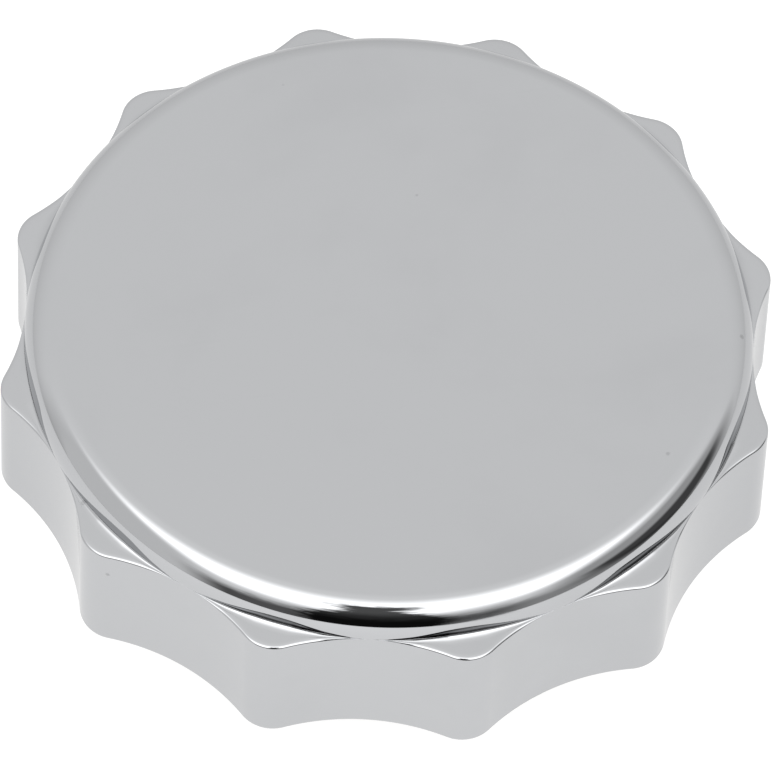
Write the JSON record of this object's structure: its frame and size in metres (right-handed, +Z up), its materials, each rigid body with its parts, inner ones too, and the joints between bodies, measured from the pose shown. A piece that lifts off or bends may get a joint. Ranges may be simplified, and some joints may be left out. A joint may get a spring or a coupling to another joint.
{
  "type": "deck fill cap",
  "caption": "Low round fill cap with a scalloped hand grip and a raised flat crown, turning a short threaded, vented plug through a ratchet.",
  "frame": {"origin": "on the cap's axis, at the plug's foot, the lowest face", "axes": "+Z up along the cap's axis, out of the crown; +X through the tip of one lobe and a key of the ratchet ring"},
  "size_m": [0.0828, 0.0828, 0.0306],
  "materials": {
    "chrome_shell": "polished chrome plate",
    "plug_brass": "machined",
    "valve_brass": "machined, satin",
    "ratchet_steel": "sintered, oiled",
    "spring_steel": "drawn and hardened",
    "fastener_steel": "passivated stainless",
    "baffle_steel": "pressed stainless sheet",
    "gasket_rubber": "matt nitrile",
    "washer_nylon": "natural nylon"
  },
  "bodies": {
    "closure": {"closure_body": "plug_brass", "neck_gasket": "gasket_rubber", "pawl_pin_1": "fastener_steel", "pawl_pin_2": "fastener_steel", "pawl_pin_3": "fastener_steel", "pawl_spring_1": "spring_steel", "pawl_spring_2": "spring_steel", "pawl_spring_3": "spring_steel", "valve_cover": "valve_brass", "cover_screw_1": "fastener_steel", "cover_screw_2": "fastener_steel", "cover_screw_3": "fastener_steel", "pressure_spring": "spring_steel", "splash_baffle": "baffle_steel", "baffle_ring": "spring_steel"},
    "hand_cap": {"cap_shell": "chrome_shell", "ratchet_ring": "ratchet_steel", "retaining_ring": "spring_steel", "thrust_washer": "washer_nylon"},
    "pawl_1": {"pawl_1": "ratchet_steel"},
    "pawl_2": {"pawl_2": "ratchet_steel"},
    "pawl_3": {"pawl_3": "ratchet_steel"},
    "pressure_poppet": {"pressure_valve": "valve_brass", "pressure_seal": "gasket_rubber", "vacuum_spring": "spring_steel"},
    "vacuum_poppet": {"vacuum_valve": "valve_brass", "vacuum_seal": "gasket_rubber", "stem_clip": "spring_steel"}
  },
  "joints": [
    {"name": "cap_turn", "type": "hinge", "parent": "closure", "child": "hand_cap", "pos_m": [0, 0, 0.0212], "axis": [0, 0, 1], "continuous": true},
    {"name": "pawl_1_swing", "type": "hinge", "parent": "closure", "child": "pawl_1", "pos_m": [0.0193, 0.0193, 0.02465], "axis": [0, 0, -1], "range_deg": [0, 12], "stiffness_Nm_per_rad": 0.05, "springref_deg": -5.73, "deforming": ["pawl_spring_1"]},
    {"name": "pawl_2_swing", "type": "hinge", "parent": "closure", "child": "pawl_2", "pos_m": [-0.02637, 0.00707, 0.02465], "axis": [0, 0, -1], "range_deg": [0, 12], "stiffness_Nm_per_rad": 0.05, "springref_deg": -5.73, "deforming": ["pawl_spring_2"]},
    {"name": "pawl_3_swing", "type": "hinge", "parent": "closure", "child": "pawl_3", "pos_m": [0.00707, -0.02637, 0.02465], "axis": [0, 0, -1], "range_deg": [0, 12], "stiffness_Nm_per_rad": 0.05, "springref_deg": -5.73, "deforming": ["pawl_spring_3"]},
    {"name": "pressure_lift", "type": "slide", "parent": "closure", "child": "pressure_poppet", "axis": [0, 0, 1], "range_m": [0, 0.0025], "stiffness_N_per_m": 800, "springref_m": -0.003, "deforming": ["pressure_spring"]},
    {"name": "vacuum_drop", "type": "slide", "parent": "pressure_poppet", "child": "vacuum_poppet", "axis": [0, 0, -1], "range_m": [0, 0.0015], "stiffness_N_per_m": 150, "springref_m": -0.002, "deforming": ["vacuum_spring"]}
  ]
}
